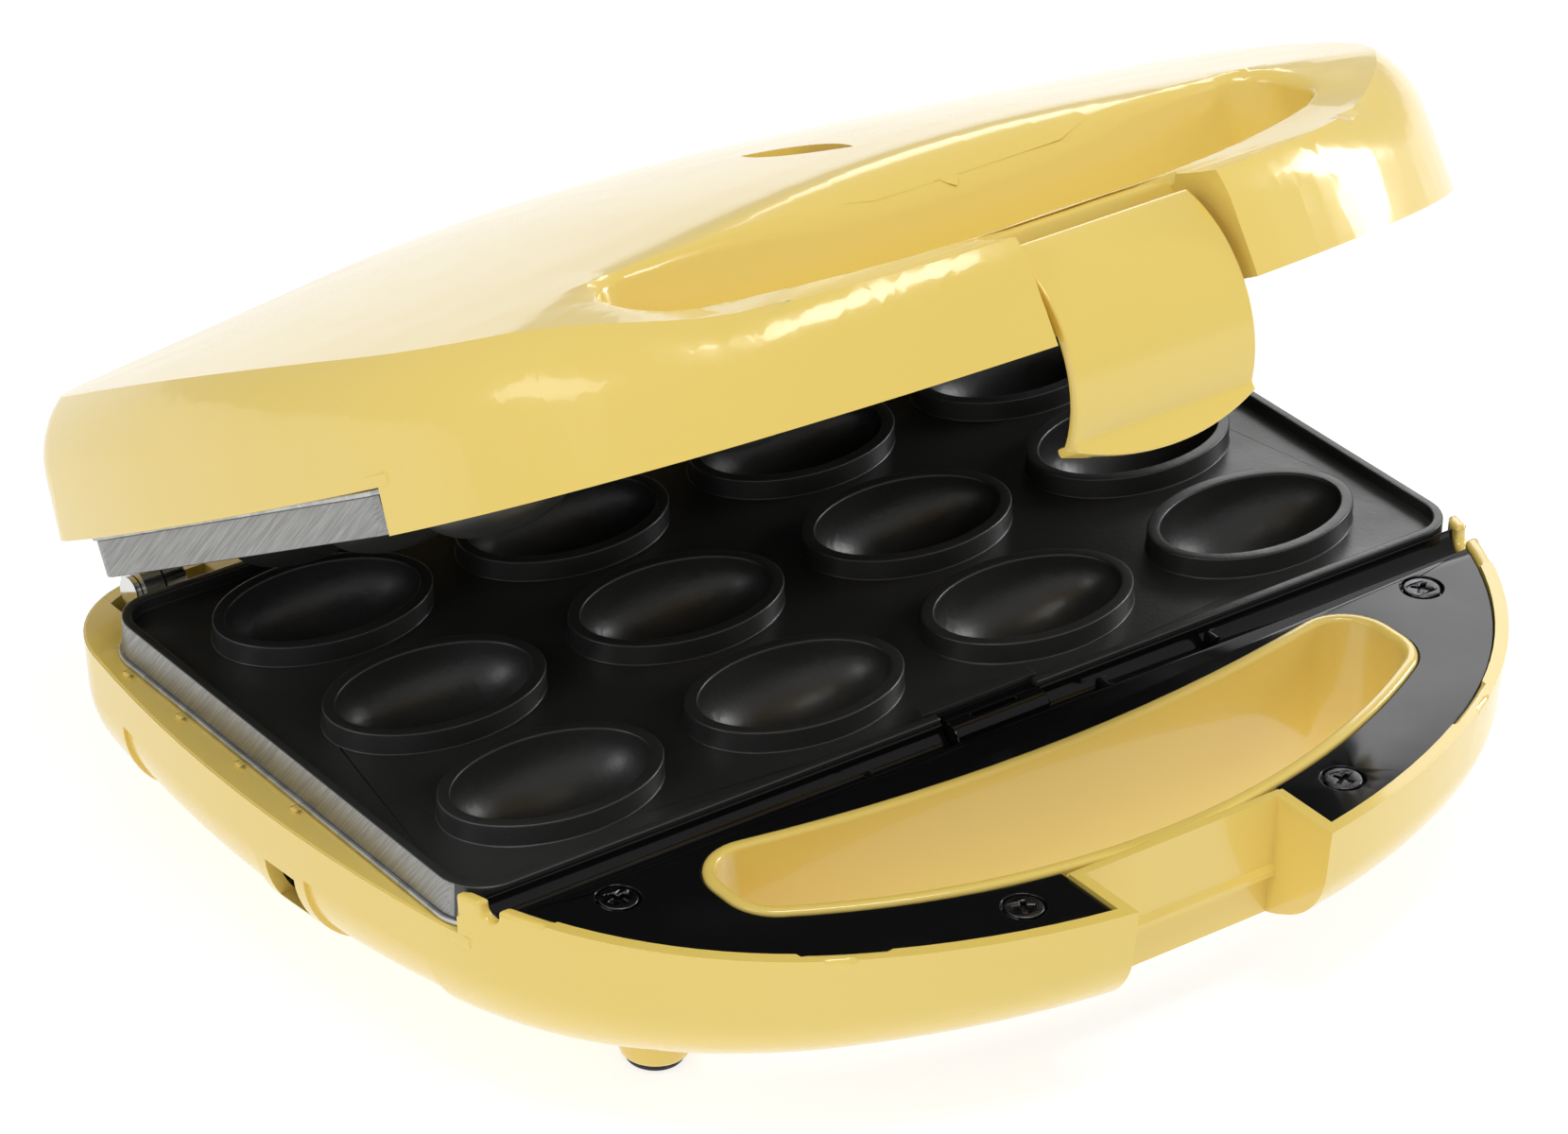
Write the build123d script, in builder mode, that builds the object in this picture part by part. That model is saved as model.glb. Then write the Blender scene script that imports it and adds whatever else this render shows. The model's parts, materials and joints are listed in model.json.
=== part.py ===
"""Countertop cookie maker: a hinged clamshell that bakes walnut-shaped half shells between two plates.

Every piece is modelled with the lid closed, in a frame whose origin is the middle of the cooking
plates on the parting plane: X to the right, Y to the back, Z up. At the end the pieces of the lid
are swung open about the hinge, and everything is stood on the plane that the feet rest on.
"""

from build123d import *
from math import sqrt
import os

# Cooking plates
plate_length = 235.0
plate_width = 122.0
plate_corner = 9.0
plate_rim = 2.0
plate_side = 7.4
plate_recess = 2.6
plate_floor = 2.6
plate_skirt = 3.0
columns = 4
rows = 3
column_pitch = 55.4
row_pitch = 37.6
collar_length = 46.1
collar_width = 30.0
collar_rise = 1.8
cup_length = 41.0
cup_width = 25.0
cup_lead = 0.8
cup_wall = 2.0
plug_length = 33.0
plug_width = 17.5
plug_lead = 2.0

# Parting plane and running clearances
parting_gap = 0.4
seat_clearance = 0.15
pin_clearance = 0.06
side_gap = 0.4
rim_cutback = 9.0

# Plan outline shared by the base and the lid
half_width = plate_length / 2 + 7.8
widest_y = 9.3
front_y = -plate_width / 2 - 73.1
rear_y = plate_width / 2 + 19.1
front_radius = 155.0
side_radius = 337.0
front_corner = 91.0
rear_corner = 24.0
draft = 4.0
wall = 2.6
edge_round = 20.0
level_normal = 0.6

# Base housing
base_depth = 38.0
base_front_lift = 13.0
level_y = 20.0
foot_height = 4.0
post_y = -plate_width / 2 + 2.8
side_panel_depth = 0.8
side_panel_top = 18.5
side_panel_spans = ((-50.0, -16.0), (-1.0, 48.0))
side_vent_y = -8.5
side_vent_width = 9.0
side_vent_top = 20.0
side_vent_height = 9.0
side_vent_reach = 18.0

# Lid housing
dome_top = 44.3
dome_y = 36.0
dome_radius_x = 472.0
dome_radius_y = 926.0
dome_flank_x = 47.0
dome_sweep = 12.0
crown_rise = 3.6
bar_top = 24.3
bar_hollow_y = front_y + 59.1
bar_hollow_top = 46.0

# Finger opening through the base and the lid
opening_front_y = front_y + 21.1
opening_rear_y = front_y + 52.6
opening_front_radius = 150.0
opening_rear_radius = 352.0
opening_half_length = 77.0
opening_corner = 8.0

# Front covers and their drip gutter
cover_drop = 1.0
cover_thickness = 2.0
gutter_y = -plate_width / 2 - 4.2
gutter_radius = 3.4
gutter_wall = 1.2
spout_width = 4.0
spout_depth = 3.4
cover_outer_screw = (plate_length / 2 - 22.8, front_y + 59.1)
cover_inner_screw = (37.3, front_y + 15.7)
cover_screw_recess = 8.4
cover_screw_head = 7.2
cover_screw_head_height = 1.2
cover_boss = 9.0

# Latch
notch_half_width = 22.5
notch_wall = 2.4
base_notch_y = front_y + 16.9
lid_notch_y = front_y + 18.9
catch_lip_depth = 0.9
catch_lip_height = 2.5
catch_lip_bottom = -17.5
clip_half_width = 20.2
clip_radius = 25.0
clip_thickness = 2.5
clip_centre_y = front_y + 28.6
clip_top = 18.0
hook_gap = 0.4
hook_height = 3.2
hook_reach = 2.4
thumb_drop = 2.6
latch_pin_y = front_y + 13.3
latch_pin_z = 14.0
latch_pin_radius = 1.5
latch_barrel_radius = 2.8
latch_barrel_length = 7.0
latch_rest_angle = 5.0

# Hinge
hinge_y = plate_width / 2 + 8.7
hinge_z = -5.0
hinge_x = plate_length / 2 - 16.7
hinge_eye_radius = 5.0
hinge_leaf = 4.2
hinge_pin_radius = 2.0
hinge_pin_head = 3.2
hinge_pin_head_height = 1.2
hinge_arm = 4.4
hinge_foot_z = 14.0
hinge_foot_thickness = 1.6
hinge_foot_x = hinge_x - 14.8
hinge_foot_width = 10.0
hinge_screw_inset = 4.5
hinge_screw_head = 5.6
hinge_screw_head_height = 1.8
lid_open_angle = 30.0

# Heater pans, elements and what is fixed to them
pan_sheet = 0.8
pan_flange = 0.7
pan_flange_thickness = 1.0
pan_well_length = plate_length - 7.4
pan_well_width = plate_width - 6.4
pan_well_corner = 12.0
pan_depth = 20.5
pan_boss_x = plate_length / 2 - 32.5
pan_boss_y = plate_width / 2 - 26.0
pan_boss = 9.0
pan_screw_head = 6.0
pan_screw_head_height = 2.0
plate_post = 7.0
element_diameter = 6.3
element_run_x = plate_length / 2 - 8.9
element_run_y = row_pitch / 2
element_bend = 10.0
element_end_x = 21.5 - plate_length / 2
element_end_z = -29.0
thermostat_diameter = 18.0
thermostat_height = 7.5
fuse_diameter = 5.0
fuse_length = 30.0
terminal_length = 36.0
terminal_width = 13.0
terminal_height = 10.0
terminal_y = 40.0
terminal_entries = 3
terminal_entry = 8.0
terminal_entry_depth = 5.0

# Feet
foot_x = plate_length / 2 - 34.5
foot_front_y = front_y + 63.5
foot_rear_y = rear_y - 28.1
foot_diameter = 18.0
foot_pad_diameter = 15.0
foot_pad_height = 1.8

# Lamp window on the lid's crest
window_y = -35.0
window_length = 38.0
window_width = 8.5
window_depth = 2.4
window_split_y = -31.0
lens_thickness = 2.4
window_collar = 1.4
lamp_diameter = 5.0
lamp_length = 10.0
lamp_round = 1.6
lamp_holder_thickness = 1.6

# Cord gland in the rear wall
gland_x = 62.0
gland_width = 11.0
gland_height = 9.0
gland_flange = 2.2
gland_slot_width = 6.2
gland_slot_height = 3.6

# Front catch that holds the lower plate
catch_width = 22.0
catch_radius = 3.4
catch_y = -plate_width / 2 - 1.6
catch_z = -4.0
catch_relief = 2.7
catch_mark_length = 11.0
catch_mark_width = 1.2

rim_z = -parting_gap / 2
plate_bottom = rim_z - plate_side
flange_bottom = plate_bottom - pan_flange_thickness
floor_top = rim_z - plate_recess
floor_bottom = floor_top - plate_floor
cover_top = -cover_drop
cover_bottom = cover_top - cover_thickness
pan_bottom = -pan_depth
inner_floor = wall - base_depth
collar_top = rim_z + collar_rise
cup_centre = collar_top - cup_lead
plate_front_y = -plate_width / 2
catch_face_y = plate_front_y + catch_relief
cover_rear_y = plate_front_y - seat_clearance
cup_spots = GridLocations(column_pitch, row_pitch, columns, rows)
boss_spots = GridLocations(2 * pan_boss_x, 2 * pan_boss_y, 2, 2)
post_spots = ((column_pitch, 0), (-column_pitch, 0))
element_ends = ((element_end_x, element_run_y), (element_end_x, -element_run_y))
screw_spots = [(side * x, y) for x, y in (cover_outer_screw, cover_inner_screw) for side in (1, -1)]
tall = 80.0


def border(faces):
    """Edges that belong to only one face of a group, so its outline."""
    edges = [edge for face in faces for edge in face.edges()]
    return ShapeList(edge for edge in edges if sum(edge.is_same(other) for other in edges) == 1)


def outline(inset):
    """Plan outline of the housings: a bowed front, gently bowed sides and a straight back."""
    with BuildSketch() as plan:
        with Locations((0, front_y + front_radius)):
            Circle(front_radius)
        for side in (1, -1):
            with Locations((side * (half_width - side_radius), widest_y)):
                Circle(side_radius, mode=Mode.INTERSECT)
        with Locations((0, rear_y)):
            Rectangle(3 * half_width, 3 * half_width, align=(Align.CENTER, Align.MAX), mode=Mode.INTERSECT)
        fillet(plan.vertices().group_by(Axis.Y)[0], radius=front_corner)
        fillet(plan.vertices().group_by(Axis.Y)[-1], radius=rear_corner)
        if inset:
            offset(amount=-inset)
    return plan.sketch


def opening_plan(inset):
    """Crescent of the finger opening, grown by inset."""
    with BuildSketch() as plan:
        with Locations((0, opening_front_y + opening_front_radius)):
            Circle(opening_front_radius)
        with Locations((0, opening_rear_y)):
            Rectangle(2 * opening_half_length, plate_width, mode=Mode.INTERSECT)
        with Locations((0, opening_rear_y + opening_rear_radius)):
            Circle(opening_rear_radius, mode=Mode.SUBTRACT)
        fillet(plan.vertices(), radius=opening_corner)
        if inset:
            offset(amount=inset)
    return plan.sketch


def base_form(inset):
    """Outside of the base, or its cavity when inset by the wall."""
    with BuildPart() as form:
        with BuildSketch():
            add(outline(inset))
        extrude(amount=-base_depth, taper=draft)
        underside = inset - base_depth
        with BuildSketch(Plane.YZ):
            with BuildLine():
                level = Line((rear_y, underside), (level_y, underside))
                lift = TangentArc(level @ 1, (front_y, underside + base_front_lift), tangent=level % 1)
                Polyline(lift @ 1, (front_y, 0), (rear_y, 0), level @ 0)
            make_face()
        extrude(amount=half_width, both=True, mode=Mode.INTERSECT)
        belly = form.faces().filter_by(lambda face: face.normal_at().Z < -level_normal)
        fillet(border(belly), radius=edge_round - inset)
        with BuildSketch():
            add(opening_plan(inset))
        extrude(amount=-base_depth, mode=Mode.SUBTRACT)
    return form.part


def dome_form(rise):
    """Everything under the lid's shallow dome, raised by rise."""
    run = sqrt(dome_radius_x**2 - dome_flank_x**2)
    crest = dome_top + rise
    shoulder = crest - (dome_radius_x - run)
    skirt = shoulder - dome_flank_x / run * (half_width - dome_flank_x)
    across = Plane.XZ.offset(-dome_y)
    with BuildPart() as form:
        with BuildSketch(across):
            with BuildLine():
                crown = ThreePointArc((-dome_flank_x, shoulder), (0, crest), (dome_flank_x, shoulder))
                Polyline(
                    crown @ 1,
                    (half_width, skirt),
                    (half_width, -edge_round),
                    (-half_width, -edge_round),
                    (-half_width, skirt),
                    crown @ 0,
                )
            make_face()
        revolve(axis=Axis((0, dome_y, crest - dome_radius_y), (1, 0, 0)), revolution_arc=dome_sweep)
        mirror(about=across)
    return form.part


def lid_form(inset):
    """Outside of the lid, or its cavity when inset by the wall."""
    with BuildPart() as form:
        with BuildSketch():
            add(outline(inset))
        extrude(amount=tall, taper=draft)
        add(dome_form(crown_rise - inset), mode=Mode.INTERSECT)
        crown = form.faces().filter_by(lambda face: face.normal_at().Z > level_normal)
        fillet(border(crown), radius=edge_round - inset)
        add(dome_form(-inset), mode=Mode.INTERSECT)
        with BuildSketch(Plane.YZ):
            with BuildLine():
                bar = TangentArc(
                    (front_y, bar_top - inset), (bar_hollow_y, bar_hollow_top - inset), tangent=(1, 0)
                )
                Polyline(bar @ 1, (bar_hollow_y, tall), (rear_y, tall), (rear_y, 0), (front_y, 0), bar @ 0)
            make_face()
        extrude(amount=half_width, both=True, mode=Mode.INTERSECT)
        with BuildSketch():
            add(opening_plan(inset))
        extrude(amount=tall, mode=Mode.SUBTRACT)
    return form.part


def walnut_form(length, width, centre_z, top_z):
    """Lower half of a walnut: an egg round the X axis at centre_z, with straight sides up to top_z."""
    with BuildPart() as form:
        with BuildSketch(Plane.XZ):
            with Locations((0, centre_z)):
                Ellipse(length / 2, width / 2)
                Rectangle(length, width, align=(Align.CENTER, Align.MIN), mode=Mode.SUBTRACT)
        revolve(axis=Axis((0, 0, centre_z), (1, 0, 0)))
        split(bisect_by=Plane.XY.offset(min(centre_z, top_z)), keep=Keep.BOTTOM)
        if top_z > centre_z:
            with BuildSketch(Plane.XY.offset(centre_z)):
                Ellipse(length / 2, width / 2)
            extrude(amount=top_z - centre_z)
    return form.part


base_outside = base_form(0)
base_middle = base_form(wall / 2)
base_cavity = base_form(wall)
lid_outside = lid_form(0)
lid_middle = lid_form(wall / 2)
lid_cavity = lid_form(wall)


# Lower plate: cast aluminium with a raised rim and twelve collared cups
with BuildPart() as lower_plate:
    with BuildSketch(Plane.XY.offset(plate_bottom)):
        RectangleRounded(plate_length, plate_width, plate_corner)
    extrude(amount=plate_side)
    with BuildSketch(Plane.XY.offset(floor_top)):
        RectangleRounded(plate_length - 2 * plate_rim, plate_width - 2 * plate_rim, plate_corner - plate_rim)
    extrude(amount=plate_recess, mode=Mode.SUBTRACT)
    with BuildSketch(Plane.XY.offset(plate_bottom)):
        RectangleRounded(
            plate_length - 2 * plate_skirt, plate_width - 2 * plate_skirt, plate_corner - plate_skirt
        )
    extrude(amount=floor_bottom - plate_bottom, mode=Mode.SUBTRACT)
    with BuildSketch(Plane.XY.offset(floor_top)):
        with cup_spots:
            Ellipse(collar_length / 2, collar_width / 2)
    extrude(amount=plate_recess + collar_rise)
    bowl_top = floor_top - plate_floor / 2
    with cup_spots:
        add(walnut_form(cup_length + 2 * cup_wall, cup_width + 2 * cup_wall, cup_centre, bowl_top))
    with cup_spots:
        add(walnut_form(cup_length, cup_width, cup_centre, collar_top), mode=Mode.SUBTRACT)
    with BuildSketch(Plane.XY.offset(floor_bottom)):
        with Locations(*post_spots):
            Circle(plate_post / 2)
    extrude(amount=pan_bottom + pan_sheet - floor_bottom)
    with BuildSketch(Plane.XY.offset(rim_z)):
        with Locations((0, catch_face_y)):
            Rectangle(
                catch_width + 2 * (side_gap + plate_rim), plate_skirt, align=(Align.CENTER, Align.MIN)
            )
    extrude(amount=-plate_side)
    with BuildSketch(Plane.XY.offset(rim_z)):
        with Locations((0, catch_face_y)):
            Rectangle(catch_width + 2 * side_gap, plate_width, align=(Align.CENTER, Align.MAX))
    extrude(amount=-plate_side, mode=Mode.SUBTRACT)

# Upper plate: the same frame with a plug over every cup
with BuildPart() as upper_plate:
    with BuildSketch(Plane.XY.offset(-plate_bottom)):
        RectangleRounded(plate_length, plate_width, plate_corner)
    extrude(amount=-plate_side)
    with BuildSketch(Plane.XY.offset(-floor_top)):
        RectangleRounded(plate_length - 2 * plate_rim, plate_width - 2 * plate_rim, plate_corner - plate_rim)
    extrude(amount=-plate_recess, mode=Mode.SUBTRACT)
    with BuildSketch(Plane.XY.offset(-plate_bottom)):
        RectangleRounded(
            plate_length - 2 * plate_skirt, plate_width - 2 * plate_skirt, plate_corner - plate_skirt
        )
    extrude(amount=plate_bottom - floor_bottom, mode=Mode.SUBTRACT)
    with cup_spots:
        add(walnut_form(plug_length, plug_width, -floor_top - plug_lead, -floor_top))
    with BuildSketch(Plane.XY.offset(-floor_bottom)):
        with Locations(*post_spots):
            Circle(plate_post / 2)
    extrude(amount=floor_bottom - pan_bottom - pan_sheet)

# Lower heater pan: drawn sheet with a flange under the plate's skirt
with BuildPart() as lower_heater_pan:
    with BuildSketch(Plane.XY.offset(flange_bottom)):
        RectangleRounded(
            plate_length + 2 * pan_flange, plate_width + 2 * pan_flange, plate_corner + pan_flange
        )
    extrude(amount=pan_flange_thickness)
    with BuildSketch(Plane.XY.offset(flange_bottom)):
        RectangleRounded(pan_well_length, pan_well_width, pan_well_corner)
    extrude(amount=pan_bottom - flange_bottom)
    with BuildSketch(Plane.XY.offset(plate_bottom)):
        RectangleRounded(
            pan_well_length - 2 * pan_sheet, pan_well_width - 2 * pan_sheet, pan_well_corner - pan_sheet
        )
    extrude(amount=pan_bottom + pan_sheet - plate_bottom, mode=Mode.SUBTRACT)
    with BuildSketch(Plane.XY.offset(pan_bottom)):
        with Locations(*element_ends):
            Circle(element_diameter / 2 + side_gap)
    extrude(amount=pan_sheet, mode=Mode.SUBTRACT)

# Lower heating element: one tube bent to a hairpin between the rows of cups, with its ends turned down
element_z = floor_bottom - element_diameter / 2
with BuildPart() as lower_heating_element:
    with BuildLine() as run:
        FilletPolyline(
            (element_end_x, -element_run_y, element_end_z),
            (element_end_x, -element_run_y, element_z),
            (element_run_x, -element_run_y, element_z),
            (element_run_x, element_run_y, element_z),
            (element_end_x, element_run_y, element_z),
            (element_end_x, element_run_y, element_end_z),
            radius=element_bend,
        )
    with BuildSketch(Plane(run.line @ 0, z_dir=run.line % 0)):
        Circle(element_diameter / 2)
    sweep()

with BuildPart() as upper_heater_pan:
    mirror(lower_heater_pan.part, about=Plane.XY)

with BuildPart() as upper_heating_element:
    mirror(lower_heating_element.part, about=Plane.XY)

# Thermostats: flat cans fixed under the middle of the pans
with BuildPart() as lower_thermostat:
    with BuildSketch(Plane.XY.offset(pan_bottom)):
        Circle(thermostat_diameter / 2)
    extrude(amount=-thermostat_height)
    fillet(lower_thermostat.faces().sort_by(Axis.Z)[0].edges(), radius=pan_sheet)

with BuildPart() as upper_thermostat:
    mirror(lower_thermostat.part, about=Plane.XY)

# Thermal fuse: a capsule lying against the lower pan
with BuildPart() as thermal_fuse:
    with BuildSketch(Plane.YZ.offset(column_pitch - fuse_length / 2)):
        with Locations((element_run_y, pan_bottom - fuse_diameter / 2)):
            Circle(fuse_diameter / 2)
    extrude(amount=fuse_length)
    chamfer(thermal_fuse.edges().filter_by(GeomType.CIRCLE), length=pan_sheet)

# Terminal block: moulded block on the floor of the base, with a row of wire entries
with BuildPart() as terminal_block:
    with BuildSketch(Plane.XY.offset(inner_floor)):
        with Locations((0, terminal_y)):
            Rectangle(terminal_length, terminal_width)
    extrude(amount=terminal_height)
    with BuildSketch(Plane.XY.offset(inner_floor + terminal_height)):
        with Locations((0, terminal_y)):
            with GridLocations(terminal_length / terminal_entries, 0, terminal_entries, 1):
                Circle(terminal_entry / 2)
    extrude(amount=-terminal_entry_depth, mode=Mode.SUBTRACT)

# Plate screws: from under each pan into the posts of its plate
with BuildPart() as lower_plate_screws:
    with BuildSketch(Plane.XY.offset(pan_bottom)):
        with Locations(*post_spots):
            Circle(pan_screw_head / 2)
    extrude(amount=-pan_screw_head_height)

with BuildPart() as upper_plate_screws:
    mirror(lower_plate_screws.part, about=Plane.XY)

# Pan screws: through the floor of each pan into the bosses of its housing
with BuildPart() as lower_pan_screws:
    with BuildSketch(Plane.XY.offset(pan_bottom + pan_sheet)):
        with boss_spots:
            Circle(pan_screw_head / 2)
    extrude(amount=pan_screw_head_height)

with BuildPart() as upper_pan_screws:
    mirror(lower_pan_screws.part, about=Plane.XY)

# Plate catch: the half-round clip in the gutter that holds the front of the lower plate
with BuildPart() as plate_catch:
    with BuildSketch(Plane.YZ.offset(-catch_width / 2)):
        with Locations((catch_y, catch_z)):
            Circle(catch_radius)
        with Locations((catch_face_y, catch_z)):
            Rectangle(catch_face_y - catch_y, 2 * catch_radius - pan_sheet, align=(Align.MAX, Align.CENTER))
    extrude(amount=catch_width)
    with BuildSketch(Plane.XY.offset(catch_z + catch_radius)):
        with Locations((0, catch_y)):
            Rectangle(catch_mark_length, catch_mark_width)
    extrude(amount=-catch_mark_width, mode=Mode.SUBTRACT)

# Base front cover: glossy crescent around the finger opening, with the drip gutter along its back
with BuildPart() as base_front_cover:
    with BuildSketch(Plane.XY.offset(cover_bottom)):
        with Locations((0, cover_rear_y)):
            Rectangle(3 * half_width, half_width, align=(Align.CENTER, Align.MAX))
    extrude(amount=cover_thickness)
    with BuildSketch(Plane.YZ.offset(-half_width)):
        with Locations((gutter_y, cover_top)):
            Circle(gutter_radius + gutter_wall)
        with Locations((gutter_y, cover_top)):
            Rectangle(
                3 * gutter_radius, 3 * gutter_radius, align=(Align.CENTER, Align.MIN), mode=Mode.SUBTRACT
            )
    extrude(amount=2 * half_width)
    add(base_form(wall + seat_clearance), mode=Mode.INTERSECT)
    with BuildSketch(Plane.YZ.offset(-half_width)):
        with Locations((gutter_y, cover_top)):
            Circle(gutter_radius)
    extrude(amount=2 * half_width, mode=Mode.SUBTRACT)
    with BuildSketch(Plane.XY.offset(cover_top)):
        with Locations((0, cover_rear_y)):
            Rectangle(3 * half_width, half_width, align=(Align.CENTER, Align.MIN))
        with Locations((0, catch_y - catch_radius - side_gap)):
            Rectangle(catch_width + 2 * side_gap, half_width, align=(Align.CENTER, Align.MIN))
        with Locations((0, opening_front_y + wall)):
            Rectangle(
                2 * (notch_half_width + notch_wall + seat_clearance),
                half_width,
                align=(Align.CENTER, Align.MAX),
            )
    extrude(amount=-tall, mode=Mode.SUBTRACT)
    with BuildSketch(Plane.XY.offset(cover_top)):
        with Locations(*screw_spots):
            Circle(cover_screw_recess / 2)
    extrude(amount=-cover_screw_head_height, mode=Mode.SUBTRACT)

with BuildPart() as lid_front_cover:
    mirror(base_front_cover.part, about=Plane.XY)

# Cover screws: cross-head screws sunk in the four recesses of each cover
with BuildPart() as base_cover_screws:
    with BuildSketch(Plane.XY.offset(cover_top - cover_screw_head_height)):
        with Locations(*screw_spots):
            Circle(cover_screw_head / 2)
    extrude(amount=cover_screw_head_height)
    fillet(base_cover_screws.faces().sort_by(Axis.Z)[-len(screw_spots):].edges(), radius=pan_sheet / 2)

with BuildPart() as lid_cover_screws:
    mirror(base_cover_screws.part, about=Plane.XY)


def inner_posts(middle, direction, notch_back_y, foot_end_x):
    """Bosses and notch walls inside a housing, up (1) in the lid or down (-1) in the base."""
    with BuildPart() as posts:
        with BuildSketch():
            with Locations((0, notch_back_y + notch_wall)):
                Rectangle(
                    2 * (notch_half_width + notch_wall), half_width, align=(Align.CENTER, Align.MAX)
                )
        extrude(amount=direction * tall)
        with BuildSketch(Plane.XY.offset(direction * -cover_bottom)):
            with Locations(*screw_spots):
                Circle(cover_boss / 2)
        extrude(amount=direction * tall)
        with BuildSketch(Plane.XY.offset(direction * pan_depth)):
            with boss_spots:
                Circle(pan_boss / 2)
        extrude(amount=direction * tall)
        with BuildSketch(Plane.XY.offset(direction * hinge_foot_z)):
            for side in (1, -1):
                with Locations((side * (hinge_foot_x + foot_end_x) / 2, hinge_y)):
                    Rectangle(foot_end_x - hinge_foot_x, hinge_foot_width)
        extrude(amount=direction * tall)
        add(middle, mode=Mode.INTERSECT)
    return posts.part


base_lug_end_x = hinge_x - side_gap / 2
lid_leaf_end_x = hinge_x + side_gap / 2 + hinge_leaf

# Shallow panels sunk into the lower side walls of the base
with BuildPart() as side_panels:
    add(base_outside)
    add(base_form(side_panel_depth), mode=Mode.SUBTRACT)
    with BuildSketch(Plane.XY.offset(-side_panel_top)):
        for start, end in side_panel_spans:
            for side in (1, -1):
                with Locations((side * half_width, (start + end) / 2)):
                    Rectangle(half_width / 2, end - start)
    extrude(amount=-base_depth, mode=Mode.INTERSECT)

# Base housing: moulded shell with the finger opening, the latch notch and the posts at the rim
with BuildPart() as base_housing:
    add(base_outside)
    add(base_cavity, mode=Mode.SUBTRACT)
    add(inner_posts(base_middle, -1, base_notch_y, base_lug_end_x))
    with BuildSketch(Plane.XY.offset(rim_z)):
        Rectangle(3 * half_width, 4 * half_width)
    extrude(amount=parting_gap, mode=Mode.SUBTRACT)
    with BuildSketch(Plane.XY.offset(-rim_cutback)):
        with Locations((0, post_y)):
            Rectangle(3 * half_width, 2 * half_width, align=(Align.CENTER, Align.MIN))
    extrude(amount=rim_cutback, mode=Mode.SUBTRACT)
    with BuildSketch(Plane.XY.offset(flange_bottom - side_gap)):
        RectangleRounded(
            plate_length + 2 * (pan_flange + side_gap),
            plate_width + 2 * (pan_flange + side_gap),
            plate_corner + pan_flange + side_gap,
        )
    extrude(amount=rim_cutback, mode=Mode.SUBTRACT)
    with BuildSketch(Plane.YZ.offset(-half_width)):
        with Locations((gutter_y, rim_z - spout_depth + spout_width / 2)):
            Circle(spout_width / 2)
            Rectangle(spout_width, spout_depth, align=(Align.CENTER, Align.MIN))
    extrude(amount=2 * half_width, mode=Mode.SUBTRACT)
    with BuildSketch():
        with Locations((0, base_notch_y)):
            Rectangle(2 * notch_half_width, half_width, align=(Align.CENTER, Align.MAX))
    extrude(amount=-tall, mode=Mode.SUBTRACT)
    with BuildSketch(Plane.YZ.offset(-notch_half_width)):
        with BuildLine():
            Polyline(
                (base_notch_y, catch_lip_bottom),
                (base_notch_y - catch_lip_depth, catch_lip_bottom),
                (base_notch_y - catch_lip_depth, catch_lip_bottom + catch_lip_height / 2),
                (base_notch_y, catch_lip_bottom + catch_lip_height),
                close=True,
            )
        make_face()
    extrude(amount=2 * notch_half_width)
    with BuildSketch(Plane.XY.offset(catch_lip_bottom)):
        with Locations((0, opening_front_y - wall - side_gap)):
            Rectangle(2 * notch_half_width, half_width, align=(Align.CENTER, Align.MAX))
    extrude(amount=-tall, mode=Mode.SUBTRACT)
    with BuildSketch(Plane.XZ.offset(-rear_y)):
        with Locations((gland_x, -rim_cutback)):
            Rectangle(gland_width, 2 * gland_height)
    extrude(amount=2 * wall, both=True, mode=Mode.SUBTRACT)
    add(side_panels.part, mode=Mode.SUBTRACT)
    with BuildSketch(Plane.YZ.offset(-half_width)):
        with Locations((side_vent_y, -side_vent_top)):
            Rectangle(side_vent_width, side_vent_height, align=(Align.CENTER, Align.MAX))
    extrude(amount=side_vent_reach, mode=Mode.SUBTRACT)
    with BuildSketch(Plane.YZ.offset(half_width)):
        with Locations((side_vent_y, -side_vent_top)):
            Rectangle(side_vent_width, side_vent_height, align=(Align.CENTER, Align.MAX))
    extrude(amount=-side_vent_reach, mode=Mode.SUBTRACT)

# Cord gland: grooved block that drops into the slot of the rear wall, with a bore for a flat cord
with BuildPart() as cord_gland:
    with BuildSketch(Plane.XZ.offset(-(rear_y - wall / 2))):
        with Locations((gland_x, -rim_cutback)):
            Rectangle(gland_width + 2 * wall, gland_height + wall, align=(Align.CENTER, Align.MAX))
        with Locations((gland_x, -rim_cutback - gland_height / 2)):
            SlotOverall(gland_slot_width, gland_slot_height, mode=Mode.SUBTRACT)
    extrude(amount=wall / 2 + gland_flange, both=True)
    add(base_housing.part, mode=Mode.SUBTRACT)

crest_run = sqrt(dome_radius_y**2 - (window_y - dome_y) ** 2)
window_plane = Plane(
    origin=(0, window_y, dome_top - dome_radius_y + crest_run),
    x_dir=(1, 0, 0),
    z_dir=(0, (window_y - dome_y) / crest_run, 1),
)
lens_bottom = -window_depth - lens_thickness


def window_plan(margin):
    """Eye-shaped window, along the middle of the lid, grown by margin."""
    half = window_length / 2 + 2 * margin
    bow = window_width / 2 + margin
    with BuildSketch() as plan:
        with BuildLine():
            ThreePointArc((0, -half), (bow, 0), (0, half))
            ThreePointArc((0, half), (-bow, 0), (0, -half))
        make_face()
    return plan.sketch


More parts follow.
